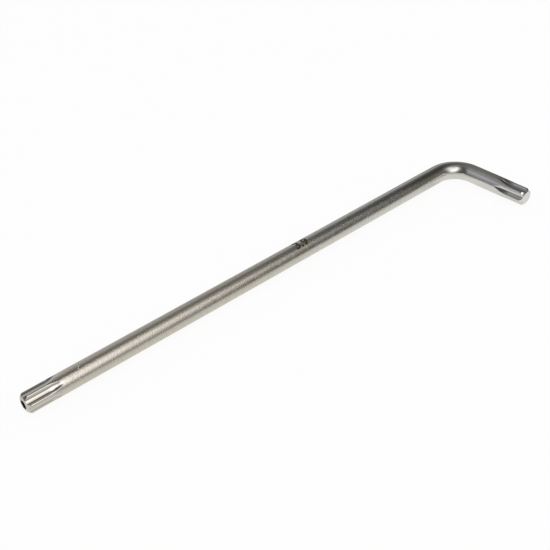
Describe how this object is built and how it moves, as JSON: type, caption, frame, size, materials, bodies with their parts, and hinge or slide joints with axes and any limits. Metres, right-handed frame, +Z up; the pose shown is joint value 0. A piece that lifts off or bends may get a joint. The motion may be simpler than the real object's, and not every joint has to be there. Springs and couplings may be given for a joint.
{
  "type": "star key",
  "caption": "L-shaped star key: a bent round steel bar with a lobed star drive cut into each end and a pin bore in the long arm's tip, for turning star-recess screws.",
  "frame": {"origin": "middle of the key's footprint, on the surface it lies on", "axes": "+X along the long arm from its tip to the bend, +Y away from the short arm's tip, +Z up from the surface"},
  "size_m": [0.112, 0.022, 0.0039],
  "materials": {
    "satin_steel": "satin, with a fine grain round the bar and a small etched size number",
    "smooth_steel": "smooth satin, closed up by bending",
    "cut_steel": "bright, with fine cross marks in the flutes"
  },
  "bodies": {
    "root": {"long_star_tip": "cut_steel", "long_arm": "satin_steel", "bend": "smooth_steel", "short_arm": "smooth_steel", "short_star_tip": "cut_steel"}
  },
  "joints": []
}
